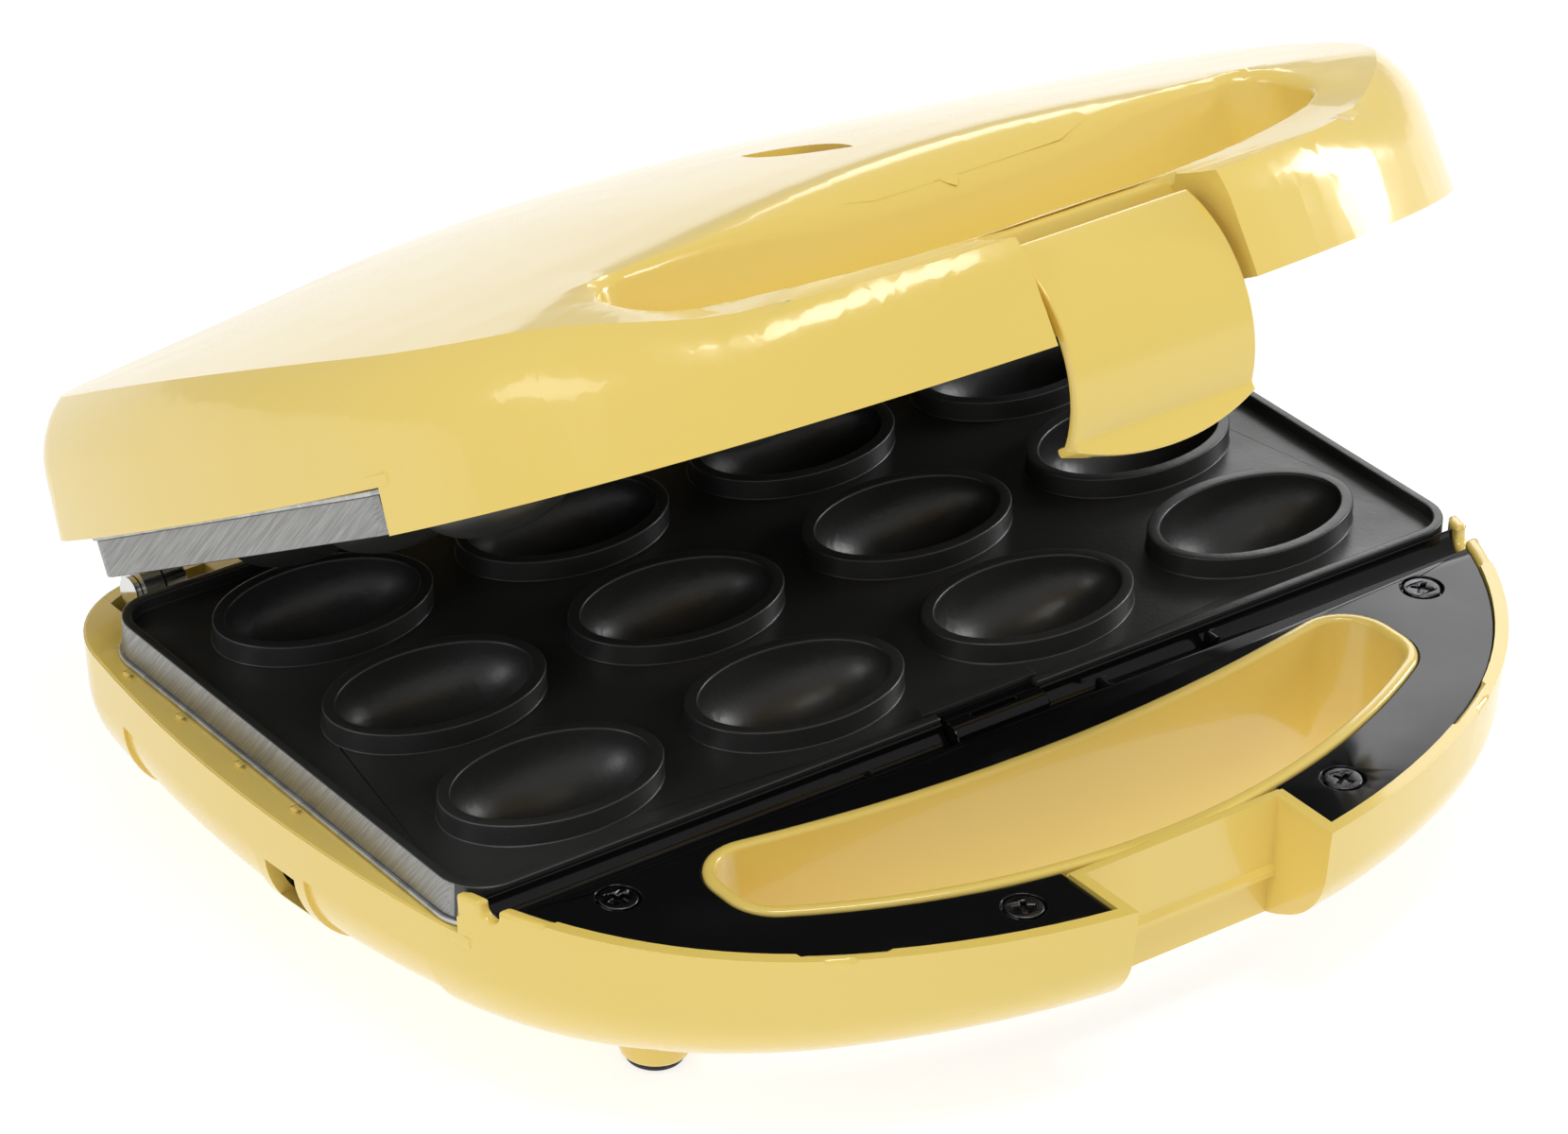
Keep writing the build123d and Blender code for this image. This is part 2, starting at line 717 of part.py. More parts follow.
# Lid housing: the upper shell with its dome, finger opening, latch notch and lamp window
with BuildPart() as lid_housing:
    add(lid_outside)
    add(lid_cavity, mode=Mode.SUBTRACT)
    add(inner_posts(lid_middle, 1, lid_notch_y, lid_leaf_end_x))
    with BuildSketch(Plane.XY.offset(-rim_z)):
        Rectangle(3 * half_width, 4 * half_width)
    extrude(amount=-parting_gap, mode=Mode.SUBTRACT)
    with BuildSketch(Plane.XY.offset(rim_cutback)):
        with Locations((0, post_y)):
            Rectangle(3 * half_width, 2 * half_width, align=(Align.CENTER, Align.MIN))
    extrude(amount=-rim_cutback, mode=Mode.SUBTRACT)
    with BuildSketch(Plane.XY.offset(-flange_bottom + side_gap)):
        RectangleRounded(
            plate_length + 2 * (pan_flange + side_gap),
            plate_width + 2 * (pan_flange + side_gap),
            plate_corner + pan_flange + side_gap,
        )
    extrude(amount=-rim_cutback, mode=Mode.SUBTRACT)
    with BuildSketch():
        with Locations((0, lid_notch_y)):
            Rectangle(2 * notch_half_width, half_width, align=(Align.CENTER, Align.MAX))
    extrude(amount=tall, mode=Mode.SUBTRACT)
    with BuildSketch(Plane.YZ):
        with Locations((latch_pin_y, latch_pin_z)):
            Circle(latch_pin_radius)
    extrude(amount=notch_half_width + notch_wall / 2, both=True, mode=Mode.SUBTRACT)
    with BuildSketch(window_plane.offset(lens_bottom)):
        add(window_plan(window_collar))
    extrude(amount=-lens_bottom - wall / 2)
    with BuildSketch(window_plane.offset(lens_bottom)):
        add(window_plan(0))
    extrude(amount=tall, mode=Mode.SUBTRACT)

# Lamp window: a reddish lens in front of a pale one, on a holder with the two lamps
split = window_split_y - window_y
lens_sides = {"power_lamp_lens": (split, Align.MAX), "ready_lamp_lens": (split + side_gap, Align.MIN)}
lenses = {}
for name, (edge, side) in lens_sides.items():
    with BuildPart() as lens:
        with BuildSketch(window_plane.offset(lens_bottom)):
            add(window_plan(-seat_clearance))
            with Locations((0, edge)):
                Rectangle(window_length, window_length, align=(Align.CENTER, side), mode=Mode.INTERSECT)
        extrude(amount=lens_thickness)
    lenses[name] = lens

lamp_spots = ((0, (split - window_length / 2) / 2), (0, (split + window_length / 2) / 2))
with BuildPart() as lamp_holder:
    with BuildSketch(window_plane.offset(lens_bottom)):
        add(window_plan(window_collar))
        with Locations(*lamp_spots):
            Circle(lamp_diameter / 2 + seat_clearance, mode=Mode.SUBTRACT)
    extrude(amount=-lamp_holder_thickness)

with BuildPart() as indicator_lamps:
    with BuildSketch(window_plane.offset(lens_bottom)):
        with Locations(*lamp_spots):
            Circle(lamp_diameter / 2)
    extrude(amount=-lamp_length)
    lamp_ends = indicator_lamps.faces().filter_by(GeomType.PLANE).sort_by(Axis.Z)[:2]
    fillet(lamp_ends.edges(), radius=lamp_round)

# Latch clip: a curved shell that hangs from its pin, with a hook and a thumb lip along the bottom
hook_top = catch_lip_bottom - hook_gap
hook_bottom = hook_top - hook_height
clip_inner_radius = clip_radius - clip_thickness


def clip_y(radius, z):
    """Where an arc of the clip stands at height z."""
    return clip_centre_y - sqrt(radius**2 - z**2)


with BuildPart() as latch_clip:
    with BuildSketch(Plane.YZ.offset(-clip_half_width)):
        with BuildLine():
            outer = RadiusArc(
                (clip_y(clip_radius, clip_top), clip_top), (clip_y(clip_radius, hook_top), hook_top), -clip_radius
            )
            Polyline(
                outer @ 1,
                (clip_y(clip_radius, hook_top) - clip_thickness / 4, hook_bottom - thumb_drop),
                (clip_y(clip_radius, hook_top) + 3 * clip_thickness / 4, hook_bottom - thumb_drop),
                (clip_y(clip_radius, hook_top) + clip_thickness, hook_bottom),
                (clip_y(clip_inner_radius, hook_top), hook_bottom),
                (clip_y(clip_inner_radius, hook_top) + hook_reach, hook_top - hook_height / 2),
                (clip_y(clip_inner_radius, hook_top) + hook_reach, hook_top),
                (clip_y(clip_inner_radius, hook_top), hook_top),
            )
            inner = RadiusArc(
                (clip_y(clip_inner_radius, hook_top), hook_top),
                (clip_y(clip_inner_radius, clip_top), clip_top),
                clip_inner_radius,
            )
            Line(inner @ 1, outer @ 0)
        make_face()
    extrude(amount=2 * clip_half_width)
    with BuildSketch(Plane.XZ.offset(-clip_centre_y)):
        with BuildLine():
            thumb = ThreePointArc(
                (-clip_half_width, hook_top - hook_height / 2),
                (0, hook_bottom - thumb_drop),
                (clip_half_width, hook_top - hook_height / 2),
            )
            Polyline(thumb @ 1, (clip_half_width, clip_top), (-clip_half_width, clip_top), thumb @ 0)
        make_face()
    extrude(amount=tall, mode=Mode.INTERSECT)
    for start in (-clip_half_width, clip_half_width - latch_barrel_length):
        with BuildSketch(Plane.YZ.offset(start)):
            with Locations((latch_pin_y, latch_pin_z)):
                Circle(latch_barrel_radius)
        extrude(amount=latch_barrel_length)
    with BuildSketch(Plane.YZ.offset(-clip_half_width)):
        with Locations((latch_pin_y, latch_pin_z)):
            Circle(latch_pin_radius + pin_clearance)
    extrude(amount=2 * clip_half_width, mode=Mode.SUBTRACT)

with BuildPart() as latch_pin:
    with BuildSketch(Plane.YZ.offset(-notch_half_width - notch_wall / 2)):
        with Locations((latch_pin_y, latch_pin_z)):
            Circle(latch_pin_radius)
    extrude(amount=2 * notch_half_width + notch_wall)


# Feet: a moulded stub on the curved underside and a rubber pad under it, four of each
foot_spots = [(side * foot_x, y) for y in (foot_front_y, foot_rear_y) for side in (1, -1)]
floor_z = -base_depth - foot_height

with BuildPart() as feet:
    with BuildSketch(Plane.XY.offset(floor_z + foot_pad_height)):
        with Locations(*foot_spots):
            Circle(foot_diameter / 2)
    extrude(amount=base_depth / 2)
    add(base_outside, mode=Mode.SUBTRACT)

with BuildPart() as foot_pads:
    with BuildSketch(Plane.XY.offset(floor_z)):
        with Locations(*foot_spots):
            Circle(foot_pad_diameter / 2)
    extrude(amount=foot_pad_height)
    fillet(foot_pads.edges().group_by(Axis.Z)[0], radius=pan_sheet)


def hinge_plate(side, start_x, foot_direction, arm_width):
    """Hinge piece on one side: an eye round the pin, an arm and a foot under its screw."""
    foot_z = foot_direction * hinge_foot_z
    foot_inner_z = foot_z - foot_direction * hinge_foot_thickness
    arm = Align.MIN if foot_direction > 0 else Align.MAX
    with BuildPart() as piece:
        with BuildSketch(Plane.YZ.offset(side * start_x)):
            with Locations((hinge_y, hinge_z)):
                Circle(hinge_eye_radius)
                Rectangle(arm_width, abs(foot_z - hinge_z), align=(Align.CENTER, arm))
                Circle(hinge_pin_radius, mode=Mode.SUBTRACT)
        extrude(amount=side * hinge_leaf)
        with BuildSketch(Plane.XY.offset(foot_inner_z)):
            with Locations((side * (hinge_foot_x + start_x + hinge_leaf) / 2, hinge_y)):
                Rectangle(start_x + hinge_leaf - hinge_foot_x, hinge_foot_width)
        extrude(amount=foot_z - foot_inner_z)
    return piece.part


# Hinges: a bracket on the base, a leaf in the lid, a headed pin and two screws on each side
base_lug_x = hinge_x - side_gap / 2 - hinge_leaf
lid_leaf_x = hinge_x + side_gap / 2
hinges = {}
for side, hand in ((-1, "left"), (1, "right")):
    with BuildPart() as bracket:
        add(hinge_plate(side, base_lug_x, -1, hinge_foot_width))
    hinges["base_hinge_bracket_" + hand] = bracket

    with BuildPart() as leaf:
        add(hinge_plate(side, lid_leaf_x, 1, hinge_arm))
        with BuildSketch(Plane.YZ):
            with Locations((hinge_y, hinge_z)):
                Circle(hinge_pin_radius + pin_clearance)
        extrude(amount=side * half_width, mode=Mode.SUBTRACT)
    hinges["lid_hinge_leaf_" + hand] = leaf

    with BuildPart() as pin:
        with BuildSketch(Plane.YZ.offset(side * base_lug_x)):
            with Locations((hinge_y, hinge_z)):
                Circle(hinge_pin_radius)
        extrude(amount=side * (lid_leaf_x + hinge_leaf + seat_clearance - base_lug_x))
        for x, length in ((base_lug_x, -1), (lid_leaf_x + hinge_leaf + seat_clearance, 1)):
            with BuildSketch(Plane.YZ.offset(side * x)):
                with Locations((hinge_y, hinge_z)):
                    Circle(hinge_pin_head)
            extrude(amount=side * length * hinge_pin_head_height)
    hinges["hinge_pin_" + hand] = pin

hinge_screw_spots = [(side * (hinge_foot_x + hinge_screw_inset), hinge_y) for side in (1, -1)]
with BuildPart() as base_hinge_screws:
    with BuildSketch(Plane.XY.offset(hinge_foot_thickness - hinge_foot_z)):
        with Locations(*hinge_screw_spots):
            Circle(hinge_screw_head / 2)
    extrude(amount=hinge_screw_head_height)
    fillet(base_hinge_screws.faces().sort_by(Axis.Z)[-2:].edges(), radius=pan_sheet / 2)

with BuildPart() as lid_hinge_screws:
    mirror(base_hinge_screws.part, about=Plane.XY)

base_pieces = {
    "base_housing": base_housing,
    "base_front_cover": base_front_cover,
    "base_cover_screws": base_cover_screws,
    "lower_plate": lower_plate,
    "plate_catch": plate_catch,
    "lower_heater_pan": lower_heater_pan,
    "lower_heating_element": lower_heating_element,
    "lower_thermostat": lower_thermostat,
    "lower_plate_screws": lower_plate_screws,
    "lower_pan_screws": lower_pan_screws,
    "thermal_fuse": thermal_fuse,
    "terminal_block": terminal_block,
    "cord_gland": cord_gland,
    "feet": feet,
    "foot_pads": foot_pads,
    "base_hinge_screws": base_hinge_screws,
}
lid_pieces = {
    "lid_housing": lid_housing,
    "lid_front_cover": lid_front_cover,
    "lid_cover_screws": lid_cover_screws,
    "upper_plate": upper_plate,
    "upper_heater_pan": upper_heater_pan,
    "upper_heating_element": upper_heating_element,
    "upper_thermostat": upper_thermostat,
    "upper_plate_screws": upper_plate_screws,
    "upper_pan_screws": upper_pan_screws,
    "lamp_holder": lamp_holder,
    "indicator_lamps": indicator_lamps,
    "lid_hinge_screws": lid_hinge_screws,
    "latch_pin": latch_pin,
}
lid_pieces.update(lenses)
for name, piece in hinges.items():
    if name.startswith("lid"):
        lid_pieces[name] = piece
    else:
        base_pieces[name] = piece

# Rest pose: the lid stands half open, the latch hangs a little off its catch, the feet are on the floor
lid_turn = Location((0, hinge_y, hinge_z), (-lid_open_angle, 0, 0))
lid_swing = lid_turn * Location((0, -hinge_y, -hinge_z))
latch_turn = Location((0, latch_pin_y, latch_pin_z), (-latch_rest_angle, 0, 0))
latch_swing = latch_turn * Location((0, -latch_pin_y, -latch_pin_z))
front_end = base_housing.part.bounding_box().min.Y
back_end = lid_housing.part.moved(lid_swing).bounding_box().max.Y
stand = Location((0, -(front_end + back_end) / 2, -floor_z))

os.makedirs("parts", exist_ok=True)
groups = (
    (base_pieces, stand),
    (lid_pieces, stand * lid_swing),
    ({"latch_clip": latch_clip}, stand * lid_swing * latch_swing),
)
for pieces, place in groups:
    for name, piece in pieces.items():
        placed = piece.part.moved(place)
        placed.label = name
        export_step(placed, "parts/" + name + ".step")

print("closed lid frame stands at", stand.position)
print("lid hinge axis", (stand * Location((0, hinge_y, hinge_z))).position)
print("latch hinge axis", (stand * lid_swing * Location((0, latch_pin_y, latch_pin_z))).position)
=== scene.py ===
"""Looks of the walnut cookie maker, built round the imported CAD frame.

The scene is in metres, in the frame of the CAD. The meshes made here are drawn in millimetres, with the lid
closed and the origin in the middle of the plates, as in the CAD source, and then moved to their rest pose.
"""
import json
import math

import bmesh
import bpy
from mathutils import Matrix, Vector
from mathutils.geometry import tessellate_polygon


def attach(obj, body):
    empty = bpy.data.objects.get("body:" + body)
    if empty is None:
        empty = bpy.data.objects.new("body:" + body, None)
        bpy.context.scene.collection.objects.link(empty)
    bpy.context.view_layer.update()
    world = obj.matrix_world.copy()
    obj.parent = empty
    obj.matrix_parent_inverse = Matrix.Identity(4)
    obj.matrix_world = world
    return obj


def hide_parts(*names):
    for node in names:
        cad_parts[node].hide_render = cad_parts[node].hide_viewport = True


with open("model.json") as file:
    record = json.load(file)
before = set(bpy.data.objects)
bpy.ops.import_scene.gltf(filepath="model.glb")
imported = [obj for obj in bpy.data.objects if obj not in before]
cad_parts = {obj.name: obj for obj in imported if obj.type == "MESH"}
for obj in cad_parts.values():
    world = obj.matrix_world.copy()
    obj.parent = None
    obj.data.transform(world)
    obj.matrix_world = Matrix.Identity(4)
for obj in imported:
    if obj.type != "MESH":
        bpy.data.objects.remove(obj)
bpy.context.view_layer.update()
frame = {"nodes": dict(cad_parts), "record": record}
nodes = frame["nodes"]

MM = 0.001

# From the closed lid's frame to the rest pose, in metres
STAND = Vector((0.0, 0.0182292, 0.042))
HINGE = Vector((0.0, 0.0697, -0.005))
LID_ANGLE = math.radians(-30.0)
LID_TURN = Matrix.Translation(HINGE) @ Matrix.Rotation(LID_ANGLE, 4, "X") @ Matrix.Translation(-HINGE)
TO_BASE = Matrix.Translation(STAND)
TO_LID = TO_BASE @ LID_TURN


# Materials


class Shader:
    """A Principled material with short ways to add nodes."""

    def __init__(self, name, colour, roughness, metallic=0.0, **sockets):
        self.material = bpy.data.materials.new(name)
        self.material.use_nodes = True
        self.tree = self.material.node_tree
        self.bsdf = next(n for n in self.tree.nodes if n.type == "BSDF_PRINCIPLED")
        self.bsdf.inputs["Base Color"].default_value = (*colour, 1.0)
        self.bsdf.inputs["Roughness"].default_value = roughness
        self.bsdf.inputs["Metallic"].default_value = metallic
        for key, value in sockets.items():
            self.bsdf.inputs[key.replace("_", " ")].default_value = value
        self.place = self.node("ShaderNodeTexCoord").outputs["Object"]

    def node(self, kind, **settings):
        made = self.tree.nodes.new(kind)
        for key, value in settings.items():
            setattr(made, key, value)
        return made

    def link(self, source, target):
        self.tree.links.new(source, target)

    def slanted(self, scale, slant):
        """Coordinates stretched along a line that leans over with height."""
        parts = self.node("ShaderNodeSeparateXYZ")
        self.link(self.place, parts.inputs["Vector"])
        lean = self.node("ShaderNodeMath", operation="MULTIPLY_ADD")
        self.link(parts.outputs["Z"], lean.inputs[0])
        lean.inputs[1].default_value = slant
        self.link(parts.outputs["Y"], lean.inputs[2])
        joined = self.node("ShaderNodeCombineXYZ")
        self.link(parts.outputs["X"], joined.inputs["X"])
        self.link(lean.outputs["Value"], joined.inputs["Y"])
        self.link(parts.outputs["Z"], joined.inputs["Z"])
        mapping = self.node("ShaderNodeMapping")
        mapping.inputs["Scale"].default_value = scale
        self.link(joined.outputs["Vector"], mapping.inputs["Vector"])
        return mapping.outputs["Vector"]

    def noise(self, scale, detail=3.0, vector=None, roughness=0.5):
        made = self.node("ShaderNodeTexNoise")
        made.inputs["Scale"].default_value = scale
        made.inputs["Detail"].default_value = detail
        made.inputs["Roughness"].default_value = roughness
        self.link(self.place if vector is None else vector, made.inputs["Vector"])
        return made.outputs["Fac"]

    def cells(self, scale, output="Color"):
        made = self.node("ShaderNodeTexVoronoi")
        made.inputs["Scale"].default_value = scale
        self.link(self.place, made.inputs["Vector"])
        return made.outputs[output]

    def ranged(self, value, low, high, out_low, out_high):
        made = self.node("ShaderNodeMapRange")
        for key, number in (("From Min", low), ("From Max", high), ("To Min", out_low), ("To Max", out_high)):
            made.inputs[key].default_value = number
        self.link(value, made.inputs["Value"])
        return made.outputs["Result"]

    def mixed(self, factor, first, second):
        made = self.node("ShaderNodeMix", data_type="RGBA")
        self.link(factor, made.inputs["Factor"])
        made.inputs["A"].default_value = (*first, 1.0)
        made.inputs["B"].default_value = (*second, 1.0)
        return made.outputs["Result"]

    def colour(self, value):
        self.link(value, self.bsdf.inputs["Base Color"])

    def rough(self, value):
        self.link(value, self.bsdf.inputs["Roughness"])

    def bump(self, height, strength, distance):
        made = self.node("ShaderNodeBump")
        made.inputs["Strength"].default_value = strength
        made.inputs["Distance"].default_value = distance
        self.link(height, made.inputs["Height"])
        self.link(made.outputs["Normal"], self.bsdf.inputs["Normal"])


def yellow_plastic():
    made = Shader("yellow_plastic", (0.85, 0.61, 0.145), 0.2, Coat_Weight=0.5, Coat_Roughness=0.05)
    tint = made.ranged(made.noise(9.0, 2.0), 0.3, 0.7, 0.0, 1.0)
    made.colour(made.mixed(tint, (0.84, 0.625, 0.14), (0.86, 0.645, 0.16)))
    made.rough(made.ranged(made.noise(60.0, 3.0), 0.3, 0.7, 0.19, 0.23))
    made.bump(made.noise(120.0, 2.0), 0.02, 0.0003)
    return made.material


def black_plastic():
    made = Shader("black_plastic", (0.005, 0.005, 0.0055), 0.12, Specular_IOR_Level=0.3)
    made.rough(made.ranged(made.noise(45.0, 5.0), 0.35, 0.75, 0.08, 0.16))
    made.bump(made.noise(90.0, 2.0), 0.05, 0.0003)
    return made.material


def nonstick():
    """Dark coating with scattered pale flecks."""
    dark, pale = (0.026, 0.027, 0.026), (0.18, 0.18, 0.19)
    made = Shader("nonstick_coating", dark, 0.35, Specular_IOR_Level=0.75)
    fleck = made.ranged(made.cells(1500.0, output="Distance"), 0.0, 0.16, 1.0, 0.0)
    chosen = made.ranged(made.noise(700.0, 1.0), 0.56, 0.62, 0.0, 1.0)
    both = made.node("ShaderNodeMath", operation="MULTIPLY")
    made.link(fleck, both.inputs[0])
    made.link(chosen, both.inputs[1])
    made.colour(made.mixed(both.outputs["Value"], dark, pale))
    made.rough(made.ranged(made.noise(60.0, 4.0), 0.3, 0.7, 0.30, 0.40))
    made.bump(made.noise(900.0, 2.0), 0.25, 0.00015)
    return made.material


def ground_aluminium():
    """Bare metal with fine slanted grinding marks."""
    made = Shader("ground_aluminium", (0.24, 0.24, 0.24), 0.38, 1.0)
    streaks = made.noise(90.0, 5.0, made.slanted((30.0, 30.0, 1.2), 0.8), 0.6)
    tint = made.ranged(streaks, 0.3, 0.7, 0.0, 1.0)
    made.colour(made.mixed(tint, (0.22, 0.22, 0.215), (0.38, 0.38, 0.37)))
    made.rough(made.ranged(streaks, 0.3, 0.7, 0.46, 0.34))
    made.bump(streaks, 0.3, 0.0001)
    return made.material


def galvanised():
    """Sheet with a zinc coat of lighter and darker grains."""
    made = Shader("galvanised_sheet", (0.50, 0.51, 0.51), 0.42, 1.0)
    grey = made.node("ShaderNodeRGBToBW")
    made.link(made.cells(420.0), grey.inputs["Color"])
    tint = made.ranged(grey.outputs["Val"], 0.2, 0.8, 0.0, 1.0)
    made.colour(made.mixed(tint, (0.44, 0.45, 0.45), (0.60, 0.61, 0.61)))
    made.rough(made.ranged(made.noise(120.0, 4.0), 0.3, 0.7, 0.34, 0.52))
    made.bump(made.noise(260.0, 4.0), 0.2, 0.0002)
    return made.material


def chrome():
    made = Shader("plated_steel", (0.70, 0.70, 0.68), 0.14, 1.0)
    made.rough(made.ranged(made.noise(220.0, 4.0), 0.35, 0.7, 0.09, 0.26))
    made.bump(made.noise(500.0, 3.0), 0.12, 0.0001)
    return made.material


def screw_steel():
    made = Shader("screw_steel", (0.10, 0.10, 0.105), 0.25, 1.0)
    made.rough(made.ranged(made.noise(400.0, 3.0), 0.35, 0.7, 0.18, 0.4))
    made.bump(made.noise(900.0, 3.0), 0.15, 0.0001)
    return made.material


def plain(name, colour, roughness, metallic=0.0, grain=400.0, **sockets):
    """Material of one colour whose roughness and surface vary a little."""
    made = Shader(name, colour, roughness, metallic, **sockets)
    made.rough(made.ranged(made.noise(grain, 3.0), 0.3, 0.7, roughness * 0.8, roughness * 1.25))
    made.bump(made.noise(grain * 2.0, 3.0), 0.15, 0.0001)
    return made.material


glossy_lens = {"grain": 90.0, "Coat_Weight": 0.6, "Coat_Roughness": 0.04}
finishes = {
    "yellow_plastic": yellow_plastic(),
    "black_plastic": black_plastic(),
    "nonstick_plate": nonstick(),
    "galvanised_sheet": galvanised(),
    "chrome_steel": chrome(),
    "screw_steel": screw_steel(),
    "element_steel": plain("element_sheath", (0.05, 0.05, 0.055), 0.45, 0.6),
    "thermostat_can": plain("thermostat_can", (0.50, 0.50, 0.50), 0.35, 1.0),
    "white_plastic": plain("white_moulding", (0.72, 0.71, 0.66), 0.5),
    "black_rubber": plain("black_rubber", (0.014, 0.014, 0.014), 0.62, grain=700.0),
    "red_lens": plain("red_lens", (0.28, 0.045, 0.02), 0.12, **glossy_lens),
    "pale_lens": plain("pale_lens", (0.78, 0.68, 0.38), 0.14, **glossy_lens),
    "lamp_glass": plain("lamp_glass", (0.80, 0.60, 0.45), 0.1, grain=90.0, Transmission_Weight=0.6),
}
bare_metal = ground_aluminium()

node_slots = {row["node"]: row["material_slot"] for row in frame["record"]["subparts"]}
for name, piece in nodes.items():
    piece.data.materials.clear()
    piece.data.materials.append(finishes[node_slots[name]])


# Ways to make and finish meshes

# Points closer than WELD are one point. Every edge that turns more than SHARP gets a small round, and a chosen
# one that turns more than SHARP_CORNER a larger one.
WELD = 0.002
SHARP = math.radians(35.0)
SHARP_CORNER = math.radians(40.0)


def soften(piece, width, segments=2, weld=True, clamp=False):
    """Small round along every sharp edge of a piece. With clamp, its narrowest face limits them all."""
    if weld:
        piece.modifiers.new("weld", "WELD").merge_threshold = WELD * MM
    bevel = piece.modifiers.new("edges", "BEVEL")
    bevel.width = width * MM
    bevel.segments = segments
    bevel.limit_method = "ANGLE"
    bevel.angle_limit = SHARP
    bevel.use_clamp_overlap = clamp
    normals = piece.modifiers.new("normals", "WEIGHTED_NORMAL")
    normals.mode = "FACE_AREA_WITH_ANGLE"


def finished(work, name, to_row, body, slot, replaces=(), smooth=True):
    """Turn mesh work into a piece that rides on a body."""
    bmesh.ops.scale(work, vec=(MM, MM, MM), verts=work.verts)
    bmesh.ops.transform(work, matrix=to_row, verts=work.verts)
    bmesh.ops.recalc_face_normals(work, faces=work.faces)
    mesh = bpy.data.meshes.new(name)
    work.to_mesh(mesh)
    work.free()
    for face in mesh.polygons:
        face.use_smooth = smooth
    mesh.materials.append(finishes[slot])
    piece = bpy.data.objects.new(name, mesh)
    bpy.context.scene.collection.objects.link(piece)
    if replaces:
        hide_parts(*replaces)
    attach(piece, body)
    return piece


def copied(name, to_row):
    """Mesh work on a welded copy of a CAD node."""
    work = bmesh.new()
    work.from_mesh(nodes[name].data)
    bmesh.ops.transform(work, matrix=to_row.inverted(), verts=work.verts)
    bmesh.ops.scale(work, vec=(1 / MM, 1 / MM, 1 / MM), verts=work.verts)
    bmesh.ops.remove_doubles(work, verts=work.verts, dist=WELD)
    return work


def sliced(work, axis, start, step, count):
    """Cut the faces of a mesh along planes across an axis, so that it can bend between them."""
    normal = Vector((0.0, 0.0, 0.0))
    normal[axis] = 1.0
    for i in range(count):
        everything = work.verts[:] + work.edges[:] + work.faces[:]
        point = normal * (start + step * i)
        bmesh.ops.bisect_plane(work, geom=everything, dist=1e-5, plane_co=point, plane_no=normal)


def rounded(work, chooses, width, segments):
    """Round the sharp edges whose two ends are chosen."""
    chosen = [edge for edge in work.edges if edge.is_manifold and edge.calc_face_angle() > SHARP_CORNER
              and all(chooses(v.co) for v in edge.verts)]
    bmesh.ops.bevel(work, geom=chosen, offset=width, offset_type="OFFSET", segments=segments, profile=0.5,
                    affect="EDGES", clamp_overlap=False)


def rounded_loop(length, width, corner, centre=(0.0, 0.0), steps=8):
    """Rounded rectangle, as points."""
    points = []
    for quarter, (sx, sy) in enumerate(((1, 1), (-1, 1), (-1, -1), (1, -1))):
        for i in range(steps + 1):
            angle = math.radians(90.0 * quarter + 90.0 * i / steps)
            points.append((centre[0] + sx * (length / 2 - corner) + corner * math.cos(angle),
                           centre[1] + sy * (width / 2 - corner) + corner * math.sin(angle)))
    return points


def slab(work, loops, top, bottom):
    """Flat plate between two heights, with loops of points as its outline and then its holes."""
    rings = [[Vector((x, y, top)) for x, y in loop] for loop in loops]
    verts = [work.verts.new(point) for ring in rings for point in ring]
    faces = [work.faces.new([verts[i] for i in corners]) for corners in tessellate_polygon(rings)]
    made = bmesh.ops.extrude_face_region(work, geom=faces)["geom"]
    moved = [g for g in made if isinstance(g, bmesh.types.BMVert)]
    bmesh.ops.translate(work, vec=(0.0, 0.0, bottom - top), verts=moved)


def turned(work, x, y, rings, steps=40):
    """Round piece at a place, from (radius, height) rings."""
    circle = [(math.cos(math.tau * i / steps), math.sin(math.tau * i / steps)) for i in range(steps)]
    layers = [[work.verts.new((x + radius * cos, y + radius * sin, z)) for cos, sin in circle]
              for radius, z in rings]
    for low, high in zip(layers, layers[1:]):
        for i in range(steps):
            work.faces.new((low[i - 1], low[i], high[i], high[i - 1]))
    work.faces.new(layers[0][::-1])
    work.faces.new(layers[-1])


# Plates: bare ground metal on their outer sides and coated everywhere else

PLATE_LENGTH, PLATE_WIDTH, PLATE_CORNER = 235.0, 122.0, 9.0


def edge_distance(x, y):
    """Distance of a point outside the rounded outline of the plates."""
    qx = abs(x) - PLATE_LENGTH / 2 + PLATE_CORNER
    qy = abs(y) - PLATE_WIDTH / 2 + PLATE_CORNER
    return math.hypot(max(qx, 0.0), max(qy, 0.0)) + min(max(qx, qy), 0.0) - PLATE_CORNER


def is_ground(centre, normal):
    """Whether a face of a plate is upright and on its outline, and not at its front."""
    upright = abs(normal.z) < 0.3
    on_outline = edge_distance(centre.x, centre.y) > -0.3
    at_front = centre.y <= -56.0 or normal.y <= -0.6
    return upright and on_outline and not at_front


for name, to_row in (("lower_plate", TO_BASE), ("upper_plate", TO_LID)):
    mesh = nodes[name].data
    mesh.materials.append(bare_metal)
    back = to_row.inverted()
    turn = back.to_3x3()
    for face in mesh.polygons:
        if is_ground(back @ face.center / MM, turn @ face.normal):
            face.material_index = 1
    soften(nodes[name], 0.35)


# Housings, drawn to the photograph at the front and rounded at their openings

FRONT_Y = -134.1

# Dome of the lid: an arc across the middle that goes on as straight flanks, swept along a longer arc
DOME_TOP = 44.3
DOME_RADIUS, DOME_CREST_Y = 926.0, 36.0
ACROSS_RADIUS, ACROSS_HALF = 472.0, 47.0

# Height of the handle bar at the front, of the solid and of the lower bar that takes its place
CAD_BAR_TOP, BAR_TOP = 24.3, 20.0

